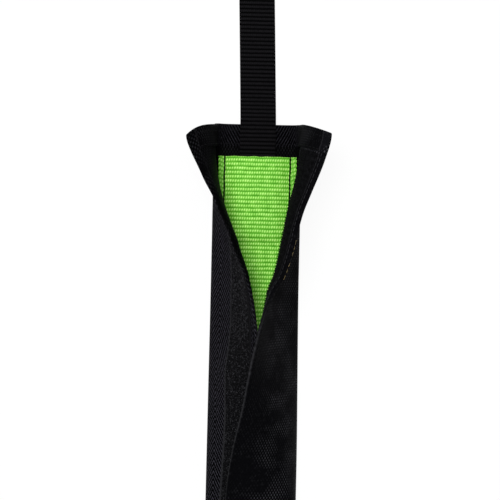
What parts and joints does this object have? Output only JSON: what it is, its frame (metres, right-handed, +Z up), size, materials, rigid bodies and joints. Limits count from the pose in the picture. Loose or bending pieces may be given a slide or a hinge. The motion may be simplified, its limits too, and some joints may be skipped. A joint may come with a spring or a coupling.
{
  "type": "rope protector sleeve",
  "caption": "Black cloth sleeve with a hook and loop closing and a green wear webbing inside, mouth peeled open, on a webbing strap with a sewn eye.",
  "frame": {"origin": "middle of the back panel's underside, where the sleeve rests", "axes": "+Y along the sleeve towards its mouth and the strap's eye, +Z up out of the back, +X to the right flap"},
  "size_m": [0.0801, 0.6378, 0.0492],
  "materials": {
    "black_cloth": "matte plain weave",
    "herringbone_cloth": "matte herringbone weave",
    "green_webbing": "ribbed, slight sheen",
    "strap_tape": "finely ribbed",
    "loop_tape": "fuzzy loop pile",
    "hook_tape": "small stiff hooks"
  },
  "bodies": {
    "back": {"back_panel": "black_cloth", "back_top_hem": "black_cloth", "back_bottom_hem": "black_cloth", "wear_webbing": "green_webbing", "strap_tail": "strap_tape"},
    "right_side": {"right_flap": "black_cloth", "right_edge_hem": "black_cloth", "right_top_hem": "black_cloth", "right_bottom_hem": "black_cloth", "hook_tape": "hook_tape"},
    "left_side": {"left_flap": "herringbone_cloth", "left_edge_hem": "black_cloth", "left_top_hem": "black_cloth", "left_bottom_hem": "black_cloth", "loop_tape": "loop_tape"},
    "strap_line": {"strap": "strap_tape", "strap_eye": "strap_tape"}
  },
  "joints": [
    {"name": "right_flap_fold", "type": "hinge", "parent": "back", "child": "right_side", "pos_m": [0.0247, 0, 0.00055], "axis": [0, 1, 0], "range_deg": [0, 65]},
    {"name": "left_flap_fold", "type": "hinge", "parent": "back", "child": "left_side", "pos_m": [-0.0247, 0, 0.00055], "axis": [0, -1, 0], "range_deg": [0, 32.5]},
    {"name": "strap_fold", "type": "hinge", "parent": "back", "child": "strap_line", "pos_m": [0, 0.251, 0.0041], "axis": [1, 0, 0], "range_deg": [0, 120]}
  ],
  "couplings": [
    {"joint": "left_flap_fold", "follows": "right_flap_fold", "ratio": 0.5}
  ]
}
